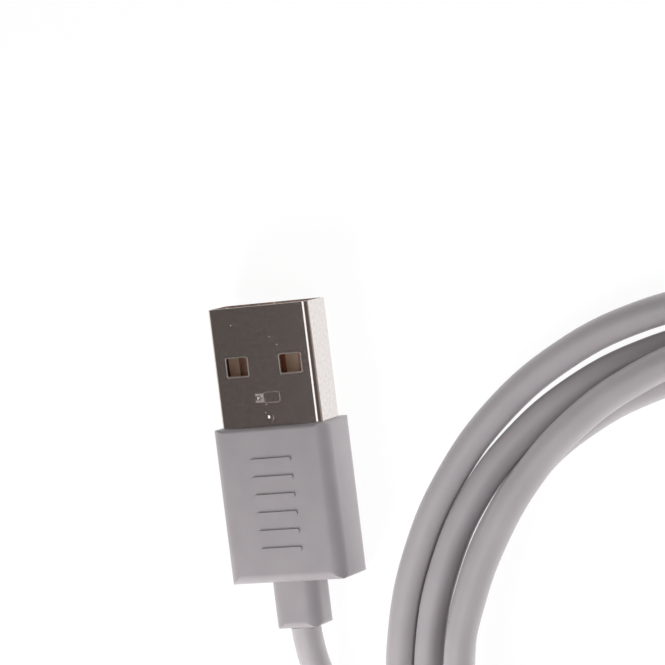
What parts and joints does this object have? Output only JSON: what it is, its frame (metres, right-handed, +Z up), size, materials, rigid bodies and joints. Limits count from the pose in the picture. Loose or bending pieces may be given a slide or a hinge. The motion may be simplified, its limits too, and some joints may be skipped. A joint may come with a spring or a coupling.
{
  "type": "usb cable",
  "caption": "Charging cable: a flat metal-shelled plug in a moulded grip, a round cord laid in a loose coil, and a small reversible plug at its far end.",
  "frame": {"origin": "on the surface that the cable lies on, under the middle of the first plug, from the tip of its shell to the end of its neck", "axes": "+Y along the first plug towards the tip of its shell, +X across the plug to the side where the coil lies, +Z up from the surface"},
  "size_m": [0.0907, 0.0793, 0.0068],
  "materials": {
    "plug_metal": "plated sheet steel with a fine grain",
    "insulator": "moulded, matt",
    "contacts": "gold plated",
    "inner_mould": "translucent moulding",
    "shield": "tinned sheet",
    "grip": "satin soft moulding",
    "jacket": "smooth satin jacket",
    "braid": "tinned copper braid",
    "red_wire": "smooth",
    "white_wire": "smooth",
    "green_wire": "smooth",
    "black_wire": "smooth",
    "far_metal": "drawn and tumbled steel",
    "far_housing": "moulded, matt",
    "board": "circuit board",
    "resistor": "smooth"
  },
  "bodies": {
    "root": {"plug_shell": "plug_metal", "insulator": "insulator", "contact_supply": "contacts", "contact_data_minus": "contacts", "contact_data_plus": "contacts", "contact_ground": "contacts", "inner_mould": "inner_mould", "rear_shield": "shield", "grip": "grip", "jacket_end": "jacket", "braid": "braid", "wire_red": "red_wire", "wire_white": "white_wire", "wire_green": "green_wire", "wire_black": "black_wire", "cord_lead": "jacket", "cord_coil": "jacket", "cord_tail": "jacket", "far_shell": "far_metal", "far_housing": "far_housing", "far_contacts_upper": "contacts", "far_contacts_lower": "contacts", "far_latch_spring": "shield", "far_board": "board", "far_resistor": "resistor", "far_inner_mould": "inner_mould", "far_shield": "shield", "far_grip": "grip", "far_jacket_end": "jacket", "far_wire_red": "red_wire", "far_wire_white": "white_wire", "far_wire_green": "green_wire", "far_wire_black": "black_wire"}
  },
  "joints": []
}
